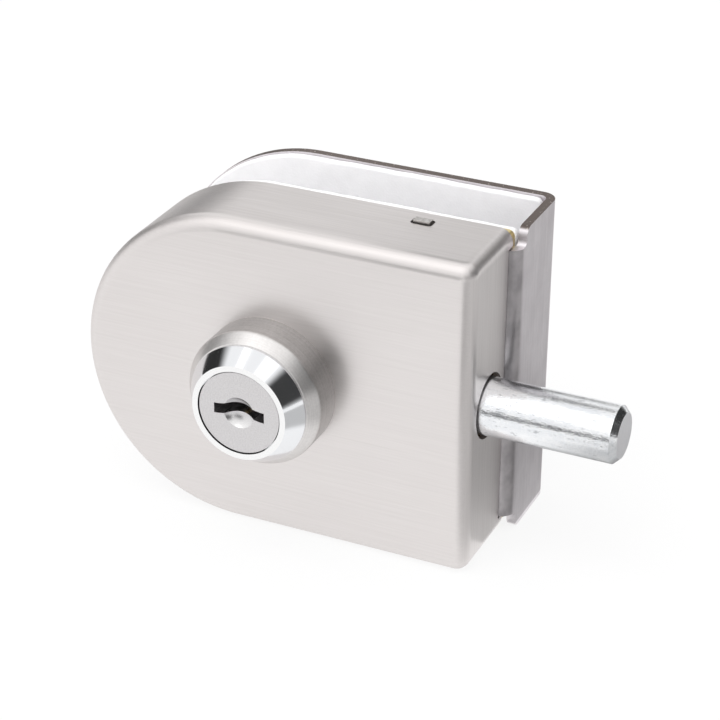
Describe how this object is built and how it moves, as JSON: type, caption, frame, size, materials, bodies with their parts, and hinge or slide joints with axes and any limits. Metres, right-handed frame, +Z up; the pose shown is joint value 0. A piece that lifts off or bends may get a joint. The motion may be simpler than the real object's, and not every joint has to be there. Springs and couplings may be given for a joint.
{
  "type": "glass door lock",
  "caption": "Clamp-on lock for a frameless glass door, with a round bolt thrown by a key cylinder and a padded clamp that grips the pane.",
  "frame": {"origin": "on the key axis, at the face of the front pad that meets the glass, with the clamp open", "axes": "+X along the throw of the bolt, +Y from the key side into the glass, +Z up, with the lock standing on the flat lower edges of its cover and clamp frame"},
  "size_m": [0.0935, 0.0439, 0.0564],
  "materials": {
    "brushed_cover": "brushed along its length",
    "satin_collar": "satin turned",
    "chrome_head": "bright chrome plate",
    "satin_plug": "fine blasted",
    "zinc_bolt": "bright zinc plate",
    "satin_frame": "satin",
    "yellow_zinc": "yellow zinc plate",
    "white_foam": "closed-cell foam",
    "cast_zinc": "as cast",
    "steel_sheet": "plain",
    "steel_catch": "plain",
    "spring_steel": "plain",
    "sintered_steel": "sintered",
    "bronze_bush": "sintered bronze",
    "brass_pins": "turned",
    "zinc_screws": "zinc plated",
    "black_screws": "black oxide"
  },
  "bodies": {
    "lock_case": {"front_cover": "brushed_cover", "collar": "satin_collar", "cylinder_housing": "chrome_head", "cylinder_clip": "spring_steel", "chamber_cap": "brass_pins", "driver_springs": "spring_steel", "bolt_bush": "bronze_bush", "lock_chassis": "cast_zinc", "rack_keeper": "steel_sheet", "keeper_screws": "zinc_screws", "chassis_screws": "zinc_screws", "catch_spring": "spring_steel", "clamp_frame": "satin_frame", "rear_pad": "white_foam", "clamp_nuts": "zinc_screws"},
    "driver_set": {"driver_pins": "brass_pins"},
    "plug_set": {"key_plug": "satin_plug", "key_pins": "brass_pins", "plug_clip": "spring_steel", "drive_pinion": "sintered_steel", "drive_screw": "zinc_screws"},
    "bolt_set": {"bolt": "zinc_bolt", "bolt_rack": "sintered_steel", "bolt_screw": "zinc_screws"},
    "catch_lug": {"cover_catch": "steel_catch"},
    "pressure_set": {"pressure_plate": "yellow_zinc", "front_pad": "white_foam", "guide_studs": "zinc_screws"},
    "upper_screw": {"clamp_screw_upper": "black_screws"},
    "lower_screw": {"clamp_screw_lower": "black_screws"}
  },
  "joints": [
    {"name": "key_turn", "type": "hinge", "parent": "lock_case", "child": "plug_set", "pos_m": [0, -0.03, 0], "axis": [0, -1, 0], "range_deg": [0, 360]},
    {"name": "bolt_slide", "type": "slide", "parent": "lock_case", "child": "bolt_set", "axis": [-1, 0, 0], "range_m": [0, 0.022]},
    {"name": "catch_press", "type": "slide", "parent": "lock_case", "child": "catch_lug", "axis": [0, 0, -1], "range_m": [0, 0.0016], "stiffness_N_per_m": 400, "springref_m": -0.001, "deforming": ["catch_spring"]},
    {"name": "driver_lift", "type": "slide", "parent": "lock_case", "child": "driver_set", "axis": [0, 0, 1], "range_m": [0, 0.0006], "stiffness_N_per_m": 200, "springref_m": -0.0005, "deforming": ["driver_springs"]},
    {"name": "clamp_close", "type": "slide", "parent": "lock_case", "child": "pressure_set", "axis": [0, 1, 0], "range_m": [0, 0.0022]},
    {"name": "upper_screw_turn", "type": "hinge", "parent": "pressure_set", "child": "upper_screw", "pos_m": [0, -0.009, 0.01897], "axis": [0, 1, 0], "range_deg": [0, 991]},
    {"name": "lower_screw_turn", "type": "hinge", "parent": "pressure_set", "child": "lower_screw", "pos_m": [0, -0.009, -0.01897], "axis": [0, 1, 0], "range_deg": [0, 991]}
  ],
  "couplings": [
    {"joint": "key_turn", "follows": "bolt_slide", "rad_per_m": 285.56},
    {"joint": "upper_screw_turn", "follows": "clamp_close", "rad_per_m": 7854},
    {"joint": "lower_screw_turn", "follows": "clamp_close", "rad_per_m": 7854}
  ]
}
